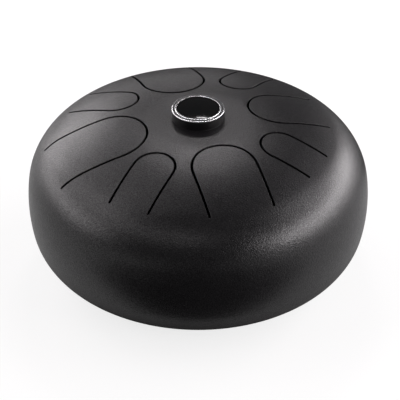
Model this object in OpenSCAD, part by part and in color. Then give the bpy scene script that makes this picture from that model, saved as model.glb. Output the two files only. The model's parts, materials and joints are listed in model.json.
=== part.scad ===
// Steel tongue drum: two pressed steel bowls, eight cut tongues, a centre puck and rubber feet.
// Up is +Z, the floor is z = 0, and the player sits on the -Y side.

/* [Shell] */
// Widest diameter of the drum
drum_d = 305; // [290:1:330]
// Thickness of the pressed steel sheet
sheet_t = 2; // [1.2:0.1:2.5]
// Diameter of the flat land pressed at the top for the puck
land_d = 83.6; // [80:0.1:96]
// Radius of the gentle arc that leads from the land into the dome
land_edge_r = 120; // [60:1:160]
// Radius of the dome's arc
dome_r = 221; // [190:1:300]
// Radius of the shoulder's arc
shoulder_r = 52.5; // [45:0.2:60]
// Radius of the wall's gentle barrel
wall_r = 140.7; // [120:1:180]
// Radius of the bottom corner's arc
corner_r = 45.5; // [35:0.2:55]

/* [Tongues] */
// Distance from the centre to the tips of the long tongues
long_tip_r = 47.6; // [46.8:0.1:52]
// Distance from the centre to the tips of the short tongues
short_tip_r = 62.6; // [58:0.1:66]
// Width of a plain long tongue
long_w = 56; // [50:0.5:58]
// Width of a plain short tongue
short_w = 36.4; // [32:0.2:38]
// Width of the slit round a tongue
slit_w = 2.3; // [0.8:0.1:3]
// Gap between a tongue's root and the shell, where the tongue flexes
root_gap = 0.2; // [0.1:0.05:0.4]

/* [Sound hole] */
// Diameter of the sound hole in the base
hole_d = 76; // [60:1:90]
// Inner bend radius of the hole's turned-in lip
lip_r = 3; // [2:0.5:6]
// Straight height of the lip above its bend
lip_h = 3; // [1:0.5:8]

/* [Puck] */
// Diameter of the centre puck
puck_d = 46.2; // [42:0.2:50]
// Height of the puck above its rubber seat
puck_h = 9; // [8.6:0.1:14]
// Thickness of the rubber seat under the puck
seat_t = 1; // [0.6:0.1:2]
// How far the seat stays inside the puck's edge
seat_inset = 0.6; // [0.2:0.1:1.5]
// Thickness of the puck's side wall
puck_wall = 3; // [2:0.1:4]
// Thickness of the puck's top
puck_top_t = 2.6; // [2:0.1:2.6]
// Diameter of the boss that holds the insert
boss_d = 13; // [11:0.5:16]
// Width of the bright ring on the puck's top edge
rim_w = 1; // [0.6:0.1:1.4]
// Height of the bright ring
rim_h = 1; // [0.6:0.1:1.4]
// Width of the black band between the bright ring and the badge tray
band_w = 1.7; // [1:0.1:3]
// Width of the tray's raised rim
tray_rim_w = 1.5; // [1:0.1:2]
// Depth of the recess that the tray sits in
tray_recess = 0.8; // [0.6:0.1:1]
// Thickness of the tray's floor
tray_floor_t = 0.4; // [0.3:0.1:0.5]
// How far the tray's rim stands above the puck
tray_proud = 0.6; // [0.3:0.1:1]
// Height of the badge's domed crown above its edge
badge_crown = 1; // [0.6:0.1:1.6]

/* [Puck screw] */
// Thread diameter of the screw that holds the puck
screw_d = 5; // [4:0.5:6]
// Length of that screw under its head
screw_l = 10; // [9:0.5:10.5]
// Diameter of that screw's head
screw_head_d = 9.5; // [9:0.1:11]
// Height of that screw's head
screw_head_h = 3.6; // [3:0.1:4.5]
// Diameter of its washer
screw_washer_d = 15; // [13:0.5:20]
// Thickness of its washer
screw_washer_t = 1.2; // [1:0.1:1.4]
// Outer diameter of the brass insert in the puck
insert_d = 7.4; // [7.2:0.1:8.5]
// Length of the brass insert
insert_l = 6; // [4.8:0.1:6.6]

/* [Feet] */
// Distance from where the base starts to curve up to the middle of a foot
foot_inset = 19.6; // [13:0.1:28]
// Height of a foot
foot_h = 8; // [7.5:0.1:12]
// Diameter of a foot where it meets the base
foot_top_d = 22; // [18:0.5:26]
// Diameter of a foot at the floor
foot_floor_d = 18; // [16:0.5:22]
// Thickness of the rubber between a foot's recess and the base
foot_web_t = 2.8; // [2:0.1:3.6]
// Diameter of the recess in a foot
foot_recess_d = 11; // [10.4:0.1:12]
// Thread diameter of a foot's screw
foot_screw_d = 4; // [3:0.5:4.5]
// Length of a foot's screw under its head
foot_screw_l = 12; // [10:0.5:16]
// Diameter of a foot screw's head
foot_head_d = 8; // [7:0.1:9]
// Height of a foot screw's head
foot_head_h = 2.7; // [2.2:0.1:3]
// Diameter of a foot's washer
foot_washer_d = 10; // [9:0.1:10.2]
// Thickness of a foot's washer
foot_washer_t = 1; // [0.8:0.1:1.2]
// Width across the flats of a foot's nut
nut_flats = 7; // [6:0.5:9]
// Height of a foot's nut
nut_h = 3.2; // [2.4:0.1:4]

/* [Hidden] */
// Number of rubber feet, one node each
foot_n = 4;
// Tilt of the surface where the land's edge arc ends and the dome's arc begins
dome_tilt = 4.8;
// Tilt of the surface where the shoulder's arc ends and the wall begins
wall_top_tilt = 82.1;
// Tilt at the widest line, where the two bowls are welded
seam_tilt = 90;
// Tilt of the surface where the wall ends and the bottom corner begins
wall_foot_tilt = 99.9;
// Tilt of the flat base, which faces down
base_tilt = 180;
// Direction of the first tongue, seen from above
first_axis = -72.5;
// Widths of the tongues, as shares of the plain long or short width
tongue_width_shares = [1, 1, 1.12, 1, 1, 0.93, 0.9, 1];
// Where the slits end, as shares of the drum's radius
tongue_root_shares = [0.79, 0.81, 0.86, 0.795, 0.785, 0.77, 0.745, 0.755];
// Play between parts that slip into each other
play = 0.05;
// Play of a screw in its clearance hole, on the radius
hole_play = 0.25;
// How far a cut runs past the face that it opens
over = 1;
// Edge break on the badge tray's rim
rim_break = 0.25;
// Diameter and depth of a screw head's drive recess, as shares of the head
drive_d_share = 0.5;
drive_h_share = 0.55;
coat_colour = "#3a393a";
plastic_colour = "#111112";
rubber_colour = "#1c1c1c";
chrome_colour = "#c9cacc";
steel_colour = "#9b9d9f";
brass_colour = "#b08d4a";
gloss_colour = "#08080a";
arc_steps = 12;
tip_steps = 24;
$fn = 96;

// Centres of the outline's arcs, each tangent to the next, worked from the widest line inwards
drum_r = drum_d / 2;
land_r = land_d / 2;
wall_c = [drum_r - wall_r, foot_h + corner_r - (wall_r - corner_r) * cos(wall_foot_tilt)];
corner_c = wall_c + (wall_r - corner_r) * [sin(wall_foot_tilt), cos(wall_foot_tilt)];
foot_circle_r = corner_c[0] - foot_inset;
shoulder_c = wall_c + (wall_r - shoulder_r) * [sin(wall_top_tilt), cos(wall_top_tilt)];
dome_end_tilt = asin((shoulder_c[0] + (dome_r - land_edge_r) * sin(dome_tilt) - land_r)
    / (dome_r - shoulder_r));
dome_c = shoulder_c - (dome_r - shoulder_r) * [sin(dome_end_tilt), cos(dome_end_tilt)];
land_c = dome_c + (dome_r - land_edge_r) * [sin(dome_tilt), cos(dome_tilt)];
land_z = land_c[1] + land_edge_r;
seam_z = wall_c[1];
under_land_z = land_z - sheet_t;
base_top_z = foot_h + sheet_t;
hole_r = hole_d / 2;
lip_c = [hole_r + sheet_t + lip_r, base_top_z + lip_r];
puck_r = puck_d / 2;
puck_z = land_z + seat_t;
puck_top_z = puck_z + puck_h;
tray_r = puck_r - rim_w - band_w;
tray_z = puck_top_z - tray_recess;
badge_r = tray_r - tray_rim_w - play;
badge_z = tray_z + tray_floor_t;
badge_edge_h = puck_top_z + tray_proud - badge_z;
screw_seat_z = under_land_z - screw_washer_t;
foot_recess_h = foot_h - foot_web_t;
foot_seat_z = foot_recess_h - foot_washer_t;

// Points along an arc, by the tilt of the surface that it draws: 0 faces up and 90 faces out
function arc(c, r, from, to, steps) =
    [for (i = [0 : steps]) let (a = from + (to - from) * i / steps) c + r * [sin(a), cos(a)]];

// The top bowl's skin, inset from the outside, from the land down to the seam
function top_line(inset) = concat(
    arc(land_c, land_edge_r - inset, 0, dome_tilt, arc_steps / 3),
    arc(dome_c, dome_r - inset, dome_tilt, dome_end_tilt, arc_steps),
    arc(shoulder_c, shoulder_r - inset, dome_end_tilt, wall_top_tilt, arc_steps),
    arc(wall_c, wall_r - inset, wall_top_tilt, seam_tilt, arc_steps / 3));

// The bottom bowl's skin from the seam to the flat base
function bottom_line(inset) = concat(
    arc(wall_c, wall_r - inset, seam_tilt, wall_foot_tilt, arc_steps / 3),
    arc(corner_c, corner_r - inset, wall_foot_tilt, base_tilt, arc_steps));

function backwards(points) = [for (i = [len(points) - 1 : -1 : 0]) points[i]];

// The lip of the sound hole: the sheet turns up into the drum
function lip_line(inset) = [for (i = [0 : arc_steps / 2]) let (a = seam_tilt * i / (arc_steps / 2))
    lip_c - (lip_r + sheet_t - inset) * [sin(a), cos(a)]];

module top_stock() {
    rotate_extrude()
        polygon(concat([[0, land_z]], top_line(0), backwards(top_line(sheet_t)), [[0, under_land_z]]));
}

// Tongues are counted clockwise from the front, long and short in turn
function is_long(i) = i % 2 == 0;
function tongue_w(i) = (is_long(i) ? long_w : short_w) * tongue_width_shares[i];
function tip_r(i) = is_long(i) ? long_tip_r : short_tip_r;
function root_r(i) = drum_r * tongue_root_shares[i];

// A tongue seen from above: a round tip and straight sides that end at the root
module tongue_plan(i, grow, end) {
    half = tongue_w(i) / 2 + grow;
    tip_c = tip_r(i) + tongue_w(i) / 2;
    tip = [for (k = [0 : tip_steps]) let (a = 180 * k / tip_steps) [tip_c - half * sin(a), half * cos(a)]];
    polygon(concat([[end, half]], tip, [[end, -half]]));
}

module tongue_prism(i, grow, end) {
    rotate([0, 0, first_axis - i * 360 / len(tongue_root_shares)])
        translate([0, 0, seam_z - over])
            linear_extrude(height = land_z - seam_z + 2 * over)
                tongue_plan(i, grow, end);
}

module top_shell() {
    color(coat_colour)
        difference() {
            top_stock();
            for (i = [0 : len(tongue_root_shares) - 1])
                tongue_prism(i, slit_w / 2, root_r(i));
            translate([0, 0, under_land_z - over])
                cylinder(r = screw_d / 2 + hole_play, h = sheet_t + 2 * over);
        }
}

module tongue(i) {
    color(coat_colour)
        intersection() {
            top_stock();
            tongue_prism(i, -slit_w / 2, root_r(i) - root_gap);
        }
}

module bottom_shell() {
    lip_top = [for (inset = [0, sheet_t]) [hole_r + inset, lip_c[1] + lip_h]];
    color(coat_colour)
        difference() {
            rotate_extrude()
                polygon(concat(bottom_line(0), lip_line(0), lip_top, backwards(lip_line(sheet_t)),
                    backwards(bottom_line(sheet_t))));
            for (i = [0 : foot_n - 1])
                at_foot(i)
                    translate([0, 0, foot_h - over])
                        cylinder(r = foot_screw_d / 2 + hole_play, h = sheet_t + 2 * over);
        }
}

// A moulded cap, open below, with a boss for the insert and steps for its two rings
module puck() {
    cavity_h = puck_h - puck_top_t - tray_recess;
    color(plastic_colour)
        difference() {
            translate([0, 0, puck_z])
                cylinder(r = puck_r, h = puck_h);
            translate([0, 0, puck_z - over])
                difference() {
                    cylinder(r = puck_r - puck_wall, h = cavity_h + over);
                    cylinder(r = boss_d / 2, h = cavity_h + 2 * over);
                }
            translate([0, 0, puck_z - over])
                cylinder(r = insert_d / 2, h = insert_l + over);
            translate([0, 0, screw_seat_z])
                cylinder(r = screw_d / 2, h = screw_l + hole_play);
            translate([0, 0, tray_z])
                cylinder(r = tray_r + play, h = tray_recess + over);
            translate([0, 0, puck_top_z - rim_h])
                difference() {
                    cylinder(r = puck_r + over, h = rim_h + over);
                    translate([0, 0, -over])
                        cylinder(r = puck_r - rim_w, h = rim_h + 3 * over);
                }
        }
}

module puck_seat() {
    color(rubber_colour)
        difference() {
            translate([0, 0, land_z])
                cylinder(r = puck_r - seat_inset, h = seat_t);
            translate([0, 0, land_z - over])
                cylinder(r = screw_d / 2 + hole_play, h = seat_t + 2 * over);
        }
}

// A thin bright ring let into the puck's top edge, rounded outside
module rim_ring() {
    color(chrome_colour)
        translate([0, 0, puck_top_z - rim_h])
            rotate_extrude()
                polygon([[puck_r - rim_w, 0], [puck_r, 0], [puck_r, rim_h - rim_break],
                    [puck_r - rim_break, rim_h], [puck_r - rim_w, rim_h]]);
}

// A shallow bright pan whose rim frames the badge
module badge_tray() {
    tray_h = tray_recess + tray_proud;
    inner_r = tray_r - tray_rim_w;
    color(chrome_colour)
        translate([0, 0, tray_z])
            rotate_extrude()
                polygon([[0, 0], [tray_r, 0], [tray_r, tray_h - rim_break], [tray_r - rim_break, tray_h],
                    [inner_r + rim_break, tray_h], [inner_r, tray_h - rim_break],
                    [inner_r, tray_floor_t], [0, tray_floor_t]]);
}

// A bare black disc with a low domed face
module badge_disc() {
    crown_r = (badge_r * badge_r + badge_crown * badge_crown) / (2 * badge_crown);
    face = [for (i = [0 : arc_steps]) let (a = asin(badge_r / crown_r) * (1 - i / arc_steps))
        [crown_r * sin(a), badge_edge_h + badge_crown - crown_r * (1 - cos(a))]];
    color(gloss_colour)
        translate([0, 0, badge_z])
            rotate_extrude()
                polygon(concat([[0, 0], [badge_r, 0]], face));
}

module puck_insert() {
    color(brass_colour)
        difference() {
            translate([0, 0, puck_z])
                cylinder(r = insert_d / 2, h = insert_l);
            translate([0, 0, puck_z - over])
                cylinder(r = screw_d / 2, h = insert_l + 2 * over);
        }
}

// A pan head screw that points up, its seat at the origin, with a hexagonal drive recess
module pan_screw(d, l, head_d, head_h) {
    drive_h = head_h * drive_h_share;
    difference() {
        union() {
            cylinder(r = d / 2 - play, h = l);
            translate([0, 0, -head_h])
                cylinder(r = head_d / 2, h = head_h);
        }
        translate([0, 0, -head_h - over])
            cylinder(r = head_d * drive_d_share / 2, h = drive_h + over, $fn = 6);
    }
}

module plain_washer(d, hole, t) {
    difference() {
        cylinder(r = d / 2, h = t);
        translate([0, 0, -over])
            cylinder(r = hole, h = t + 2 * over);
    }
}

module puck_screw() {
    color(steel_colour)
        translate([0, 0, screw_seat_z])
            pan_screw(screw_d, screw_l, screw_head_d, screw_head_h);
}

module puck_washer() {
    color(steel_colour)
        translate([0, 0, screw_seat_z])
            plain_washer(screw_washer_d, screw_d / 2 + hole_play, screw_washer_t);
}

// Feet stand evenly on their circle, between the axes of the frame
module at_foot(i) {
    rotate([0, 0, (i + 1 / 2) * 360 / foot_n])
        translate([foot_circle_r, 0, 0])
            children();
}

module foot(i) {
    color(rubber_colour)
        at_foot(i)
            difference() {
                cylinder(r1 = foot_floor_d / 2, r2 = foot_top_d / 2, h = foot_h);
                translate([0, 0, -over])
                    cylinder(r = foot_recess_d / 2, h = foot_recess_h + over);
                cylinder(r = foot_screw_d / 2 + hole_play, h = foot_h + over);
            }
}

module foot_screws() {
    color(steel_colour)
        for (i = [0 : foot_n - 1])
            at_foot(i)
                translate([0, 0, foot_seat_z])
                    pan_screw(foot_screw_d, foot_screw_l, foot_head_d, foot_head_h);
}

module foot_washers() {
    color(steel_colour)
        for (i = [0 : foot_n - 1])
            at_foot(i)
                translate([0, 0, foot_seat_z])
                    plain_washer(foot_washer_d, foot_screw_d / 2 + hole_play, foot_washer_t);
}

module foot_nuts() {
    color(steel_colour)
        for (i = [0 : foot_n - 1])
            at_foot(i)
                translate([0, 0, base_top_z])
                    difference() {
                        cylinder(r = nut_flats / 2 / cos(30), h = nut_h, $fn = 6);
                        translate([0, 0, -over])
                            cylinder(r = foot_screw_d / 2, h = nut_h + 2 * over);
                    }
}

top_shell();
bottom_shell();
tongue(0);  // tongue_1
tongue(1);  // tongue_2
tongue(2);  // tongue_3
tongue(3);  // tongue_4
tongue(4);  // tongue_5
tongue(5);  // tongue_6
tongue(6);  // tongue_7
tongue(7);  // tongue_8
puck();
puck_seat();
rim_ring();
badge_tray();
badge_disc();
puck_insert();
puck_screw();
puck_washer();
foot(0);  // foot_1
foot(1);  // foot_2
foot(2);  // foot_3
foot(3);  // foot_4
foot_screws();
foot_washers();
foot_nuts();
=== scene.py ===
# %% [markdown]
# A steel tongue drum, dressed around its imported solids.
# The solids are a fixed frame: they say where each piece is and how large. This script builds the skins
# that show, gives every piece the finish of the real one, and sets a camera and a soft studio round it.
# All lengths are in metres, in the frame's own axes: +Z is up and the player sits on the -Y side.

# %% Load the frame
import json
import math

import bpy
import numpy as np
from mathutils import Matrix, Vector
from mathutils.geometry import delaunay_2d_cdt


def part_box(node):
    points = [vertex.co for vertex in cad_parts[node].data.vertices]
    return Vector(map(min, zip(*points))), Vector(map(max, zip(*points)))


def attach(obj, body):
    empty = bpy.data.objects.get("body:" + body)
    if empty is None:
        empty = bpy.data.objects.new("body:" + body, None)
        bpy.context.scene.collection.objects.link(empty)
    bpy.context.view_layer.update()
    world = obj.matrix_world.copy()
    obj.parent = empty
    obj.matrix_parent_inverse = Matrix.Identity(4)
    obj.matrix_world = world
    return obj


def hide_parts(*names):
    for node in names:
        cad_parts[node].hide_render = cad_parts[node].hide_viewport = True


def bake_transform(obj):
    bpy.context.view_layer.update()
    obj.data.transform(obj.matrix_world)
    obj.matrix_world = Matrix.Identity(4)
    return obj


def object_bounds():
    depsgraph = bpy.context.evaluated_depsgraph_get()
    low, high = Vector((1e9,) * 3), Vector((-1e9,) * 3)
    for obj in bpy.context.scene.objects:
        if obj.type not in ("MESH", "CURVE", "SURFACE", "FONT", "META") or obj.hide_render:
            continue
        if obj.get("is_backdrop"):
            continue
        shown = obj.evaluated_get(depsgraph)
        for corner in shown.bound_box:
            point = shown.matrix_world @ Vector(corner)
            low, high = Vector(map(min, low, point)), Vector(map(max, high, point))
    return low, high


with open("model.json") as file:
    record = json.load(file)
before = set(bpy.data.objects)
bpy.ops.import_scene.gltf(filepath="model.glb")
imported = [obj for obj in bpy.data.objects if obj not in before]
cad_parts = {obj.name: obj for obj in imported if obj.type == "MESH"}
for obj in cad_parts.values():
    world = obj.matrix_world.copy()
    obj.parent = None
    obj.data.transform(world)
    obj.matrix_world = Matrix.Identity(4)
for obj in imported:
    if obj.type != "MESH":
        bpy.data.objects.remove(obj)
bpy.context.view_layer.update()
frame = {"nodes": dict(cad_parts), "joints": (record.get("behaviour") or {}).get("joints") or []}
nodes = frame["nodes"]
MM = 0.001
TINY = 1e-9


def new_object(name, data):
    """An object in the scene for a mesh, a lamp or a camera."""
    made = bpy.data.objects.new(name, data)
    bpy.context.scene.collection.objects.link(made)
    return made


# %% [markdown]
# The outline.
# The drum is two pressed bowls, and a press leaves smooth arcs that run into each other. Five arcs draw
# half of the drum from the flat land under the puck to the flat base. An arc is kept as its centre, its
# radius and the tilts of the surface where it starts and ends: 0 faces up, 90 out, 180 down. A curve
# object could hold the outline too, but arcs give the exact height and normal at any point, and the
# shading of a satin skin is only as smooth as its normals.

# %% The arcs of the outline
LAND_EDGE_R = 120 * MM
DOME_R = 221 * MM
SHOULDER_R = 52.5 * MM
WALL_R = 140.7 * MM
CORNER_R = 45.5 * MM
LAND_R = 41.8 * MM
DOME_TILT = 4.8
WALL_TOP_TILT = 82.1
SEAM_TILT = 90
WALL_FOOT_TILT = 99.9
BASE_TILT = 180
QUARTER = 90
SHEET_T = 2 * MM


def facing(tilt):
    """The direction that a surface of this tilt faces, as (outwards, up)."""
    return np.array([math.sin(math.radians(tilt)), math.cos(math.radians(tilt))])


drum_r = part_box("top_shell")[1].x
seam_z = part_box("top_shell")[0].z
land_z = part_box("top_shell")[1].z
base_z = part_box("bottom_shell")[0].z
wall_c = np.array([drum_r - WALL_R, seam_z])
corner_c = wall_c + (WALL_R - CORNER_R) * facing(WALL_FOOT_TILT)
shoulder_c = wall_c + (WALL_R - SHOULDER_R) * facing(WALL_TOP_TILT)
run = shoulder_c[0] + (DOME_R - LAND_EDGE_R) * facing(DOME_TILT)[0] - LAND_R
dome_end_tilt = math.degrees(math.asin(run / (DOME_R - SHOULDER_R)))
dome_c = shoulder_c - (DOME_R - SHOULDER_R) * facing(dome_end_tilt)
land_c = dome_c + (DOME_R - LAND_EDGE_R) * facing(DOME_TILT)
top_arcs = [
    (land_c, LAND_EDGE_R, 0, DOME_TILT),
    (dome_c, DOME_R, DOME_TILT, dome_end_tilt),
    (shoulder_c, SHOULDER_R, dome_end_tilt, WALL_TOP_TILT),
]
print("the land lies at %.2f mm" % ((land_c[1] + LAND_EDGE_R) / MM))
print("the frame says %.2f mm" % (land_z / MM))


# %% Height and tilt of the upper skin
def skin_at(radius):
    """Height and tilt, in radians, of the upper skin at each distance from the drum's axis."""
    radius = np.asarray(radius, float)
    height = np.full(radius.shape, land_z)
    tilt = np.zeros(radius.shape)
    for centre, r, start, _ in top_arcs:
        on = radius > centre[0] + r * facing(start)[0]
        a = np.arcsin(np.clip((radius[on] - centre[0]) / r, -1, 1))
        height[on] = centre[1] + r * np.cos(a)
        tilt[on] = a
    return height, tilt


def lift(plan, depth):
    """Points of the upper skin over these plan points, sunk into the sheet by depth, and its normals."""
    radius = np.hypot(plan[:, 0], plan[:, 1])
    height, tilt = skin_at(radius)
    out = plan / np.maximum(radius, TINY)[:, None]
    normal = np.column_stack([out * np.sin(tilt)[:, None], np.cos(tilt)])
    return np.column_stack([plan, height]) - normal * np.reshape(depth, (-1, 1)), normal


# %% [markdown]
# The eight tongues.
# Each tongue is cut free by one U-shaped slit and stays joined to the dome at its root. In the frame a
# tongue is a body of its own on a sprung hinge at that root, so its hinge gives its direction and its
# root, and its mesh gives its width and its tip. On the real drum tongue and dome are one sheet, so
# here both skins share the very points of the root line.

# %% Measure the tongues in the frame
SLIT_W = 2.3 * MM


def measure_tongue(joint):
    """One tongue in plan, on the slit's middle line: u runs outwards along it, v across it."""
    x, y, _ = joint["pos_m"]
    root_u = math.hypot(x, y)
    along = np.array([x, y]) / root_u
    across = np.array([-along[1], along[0]])
    mesh = nodes[joint["child"]].data
    points = np.array([v.co[:2] for v in mesh.vertices])
    half = np.abs(points @ across).max() + SLIT_W / 2
    tip_c = (points @ along).min() - SLIT_W / 2 + half
    plan = {"along": along, "across": across, "root": root_u, "half": half, "tip_c": tip_c}
    return {"body": joint["child"], **plan}


tongues = [measure_tongue(j) for j in frame["joints"]]
for t in tongues:
    print("%s: %.1f mm wide, root at %.1f mm" % (t["body"], 2 * t["half"] / MM, t["root"] / MM))

# %% [markdown]
# Rows of points beside a slit.
# A cut edge under powder coat is never sharp: the powder builds up and rounds it. The skin needs rows of
# points there, each a little nearer to the slit and a little lower, round a quarter circle. A bevel
# modifier would round the inside as well and spoil the shared root line, so the rows are worked out.
# The slit ends in a round nose, and on the dome's side the rows run round that nose.

# %% Rows beside a slit
EDGE_R = 0.2 * MM
EDGE_TURNS = [0, 30, 60, 90]
ROW_STEP = 2.4 * MM
NOSE_STEPS = 8


def turn_points(centre, radius, start, end, steps):
    """Points on a circle from one angle to another, in degrees, both ends included."""
    a = np.radians(np.linspace(start, end, steps + 1))
    return np.column_stack([centre[0] + radius * np.cos(a), centre[1] + radius * np.sin(a)])


def side_points(t, v, outwards):
    """Points along a straight side of the tongue, without its ends."""
    steps = max(2, round((t["root"] - t["tip_c"]) / ROW_STEP))
    u = np.linspace(t["tip_c"], t["root"], steps + 1)[1:-1]
    return np.column_stack([u if outwards else u[::-1], np.full(len(u), v)])


# %% One row along a slit
def slit_row(t, gap, on_tongue):
    """One row at this gap from the slit's wall, in (u, v), from the root line on one side to the other.
    The second result points from each place towards the slit."""
    sign = 1 if on_tongue else -1
    half = t["half"] - (SLIT_W / 2 + gap) * sign
    steps = round(math.pi * t["half"] / ROW_STEP)
    tip = turn_points((t["tip_c"], 0), half, QUARTER, 3 * QUARTER, steps)
    towards = (tip - [t["tip_c"], 0]) / half * sign
    upper, lower = side_points(t, half, False), side_points(t, -half, True)
    upper_way = np.tile(towards[0], (len(upper), 1))
    lower_way = np.tile(towards[-1], (len(lower), 1))
    if on_tongue:
        ends = [np.array([[t["root"], half]]), np.array([[t["root"], -half]])]
        end_ways = [towards[:1], towards[-1:]]
    else:
        nose = SLIT_W / 2 + gap
        noses = [(t["root"], t["half"]), (t["root"], -t["half"])]
        ends = [turn_points(centre, nose, -QUARTER, QUARTER, NOSE_STEPS) for centre in noses]
        end_ways = [(centre - end) / nose for centre, end in zip(noses, ends)]
    points = np.vstack([ends[0], upper, tip, lower, ends[1]])
    return points, np.vstack([end_ways[0], upper_way, towards, lower_way, end_ways[1]])


# %% From a tongue's own directions to the drum's plan, and back
def in_plan(t, uv):
    """Turns (u, v) of a tongue into the drum's plan."""
    return uv[:, :1] * t["along"] + uv[:, 1:] * t["across"]


def of_plan(t, plan):
    """Turns points of the drum's plan into (u, v) of a tongue."""
    return plan @ t["along"], plan @ t["across"]


# %% [markdown]
# Points between the rows.
# The rest of the dome needs only an even cloud of points, close enough for the arcs. Rings round the
# axis give one, and it is thinned out where the rows already are. One cloud serves dome and tongues.

# %% The even cloud of points
CLOUD_STEP = 3 * MM
CLOUD_GAP = 1.5 * MM
SKIRT_R = 138 * MM
BOLT_R = 2.75 * MM
RING_LEAST = 6
DOME_OWNS = -1


def ring(radius, count, turn=0.0):
    """Points round the axis, the first one turned by this share of a step."""
    a = (np.arange(count) + turn) * math.tau / count
    return radius * np.column_stack([np.cos(a), np.sin(a)])


def cloud():
    """Rings of points round the axis, each ring turned half a step against the last."""
    rings = []
    for i in range(round((SKIRT_R - BOLT_R) / CLOUD_STEP)):
        radius = BOLT_R + (i + 0.5) * CLOUD_STEP
        count = max(RING_LEAST, round(math.tau * radius / CLOUD_STEP))
        rings.append(ring(radius, count, 0.5 * (i % 2)))
    points = np.vstack(rings)
    return points[np.hypot(points[:, 0], points[:, 1]) < SKIRT_R - CLOUD_STEP / 2]


# %% Thin the cloud out beside the slits
def slit_distance(t, plan):
    """How far each plan point is from the slit's middle line and from the root line, and whether it lies
    on the tongue."""
    u, v = of_plan(t, plan)
    from_tip_c = np.hypot(u - t["tip_c"], v)
    tip = np.abs(from_tip_c - t["half"])
    side = np.abs(np.abs(v) - t["half"])
    nose = np.hypot(u - t["root"], np.abs(v) - t["half"])
    slit = np.where(u < t["tip_c"], tip, np.where(u < t["root"], side, nose))
    between = np.abs(v) < t["half"]
    root = np.where(between, np.abs(u - t["root"]), math.inf)
    inside = between & (u < t["root"]) & ((u > t["tip_c"]) | (from_tip_c < t["half"]))
    return slit, root, inside


even = cloud()
clear = np.ones(len(even), bool)
owner = np.full(len(even), DOME_OWNS)
for i, t in enumerate(tongues):
    slit, root, inside = slit_distance(t, even)
    clear &= (slit > SLIT_W / 2 + EDGE_R + CLOUD_GAP / 2) & (root > CLOUD_GAP)
    owner[inside] = i
print("the cloud has", int(clear.sum()), "points")

# %% [markdown]
# From plan to sheet.
# A constrained Delaunay triangulation joins rows and cloud in plan, and keeps the slits' edges. Each
# point is then lifted onto the arcs, the same triangles are laid under the sheet the other way round,
# and a wall closes every edge. The normals are set from the arcs, not averaged from the triangles, so
# that the satin shading stays even and nothing shows where two skins meet.

# %% Triangulate a plan
EVERY_TRIANGLE = 0
CLOSE_MM = 1e-6


class Plan:
    """Collects plan points, how deep they sink and which way their edge faces, and triangulates them."""

    def __init__(self):
        self.points, self.sink, self.turn, self.way = [], [], [], []
        self.edges, self.loops = [], []

    def add(self, points, sink=0.0, turn=0.0, way=None):
        """Adds points and returns their numbers."""
        first = sum(len(p) for p in self.points)
        n = len(points)
        self.points.append(points)
        self.sink.append(np.full(n, sink))
        self.turn.append(np.full(n, turn))
        self.way.append(np.zeros((n, 2)) if way is None else way)
        return list(range(first, first + n))

    def line(self, numbers):
        """Asks for edges from each of these points to the next."""
        self.edges += list(zip(numbers[:-1], numbers[1:]))

    def triangles(self):
        """Triangles that lie in the first loop and in no other: the others are its cuts."""
        flat = [Vector(p) for p in np.vstack(self.points) / MM]
        made = delaunay_2d_cdt(flat, self.edges, self.loops, EVERY_TRIANGLE, CLOSE_MM)
        _, _, faces, origins, _, face_loops = made
        kept = [face for face, loops in zip(faces, face_loops) if set(loops) == {0}]
        return np.array([[origins[k][0] for k in face] for face in kept])


# %% A slit in a plan, and the open edges of a sheet
def add_slit(plan, t, on_tongue):
    """Adds the rows beside one slit and its root line to a plan, and returns the closed edge of the cut."""
    rows = []
    for angle in EDGE_TURNS[::-1]:
        turn = math.radians(angle)
        uv, way = slit_row(t, EDGE_R * (1 - math.sin(turn)), on_tongue)
        way = in_plan(t, way)
        rows.append(plan.add(in_plan(t, uv), EDGE_R * (1 - math.cos(turn)), turn, way))
        plan.line(rows[-1])
    reach = t["half"] - SLIT_W / 2 - EDGE_R
    v = np.linspace(-reach, reach, round(2 * reach / CLOUD_STEP) + 1)[1:-1]
    middle = plan.add(in_plan(t, np.column_stack([np.full(len(v), t["root"]), v])))
    root = [row[-1] for row in rows] + middle + [row[0] for row in rows[::-1]]
    plan.line(root)
    return rows[0] + root[1:-1]


def edge_pairs(faces):
    """The directed edges that only one face has, in the order of the faces."""
    seen = dict.fromkeys((int(a), int(b)) for f in faces for a, b in zip(f, np.roll(f, -1)))
    return [e for e in seen if e[::-1] not in seen]


# %% [markdown]
# Building the sheet.
# The dome's skin carries on past the triangulated part in plain rings down to the seam, where the two
# bowls meet. The rings there are on the same angles as those of the lower bowl, so the weld, which is
# ground flush and coated over on the real drum, leaves no mark here either.

# %% Rings from the shoulder down to the seam
AROUND = 288
SHOULDER_STEPS = 14
WALL_STEPS = 6


def ring_points(centre, radius, tilt):
    """One ring of points on an arc, and their normals."""
    out, up = facing(tilt)
    r, z = centre + radius * facing(tilt)
    at = np.column_stack([ring(r, AROUND), np.full(AROUND, z)])
    return at, np.column_stack([ring(out, AROUND), np.full(AROUND, up)])


def skirt_rings():
    """The rings from the triangulated part down to the seam, as (centre, radius, tilt)."""
    join = math.degrees(math.asin((SKIRT_R - shoulder_c[0]) / SHOULDER_R))
    shoulder = np.linspace(join, WALL_TOP_TILT, SHOULDER_STEPS + 1)[1:]
    wall = np.linspace(WALL_TOP_TILT, SEAM_TILT, WALL_STEPS + 1)[1:]
    return [(shoulder_c, SHOULDER_R, a) for a in shoulder] + [(wall_c, WALL_R, a) for a in wall]


# %% Which way faces and edges look
HAS_LENGTH = 0.5
FACES_SHARE = 0.3


def unit(rows):
    """Each row at length 1."""
    return rows / np.maximum(np.linalg.norm(rows, axis=-1, keepdims=True), TINY)


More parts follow.
